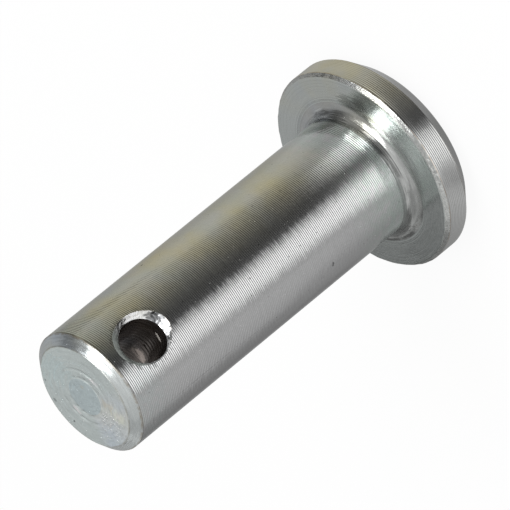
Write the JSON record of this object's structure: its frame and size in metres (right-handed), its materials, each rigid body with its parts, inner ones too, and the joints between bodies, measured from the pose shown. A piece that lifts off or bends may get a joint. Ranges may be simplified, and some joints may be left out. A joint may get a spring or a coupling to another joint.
{
  "type": "clevis pin",
  "caption": "Turned steel clevis pin with a flat round head, a plain shank, a chamfered tail and a countersunk cross hole for a split pin.",
  "frame": {"origin": "centre of the head's flat outer face, on the pin's axis", "axes": "+Z along the pin from the head to the tail; the cross hole runs along Y, and its mouth with the off-centre countersink is on the -Y side"},
  "size_m": [0.02, 0.02, 0.0395],
  "materials": {
    "zinc_plate": "bright zinc plate over fine turning marks"
  },
  "bodies": {
    "root": {"clevis_pin": "zinc_plate"}
  },
  "joints": []
}
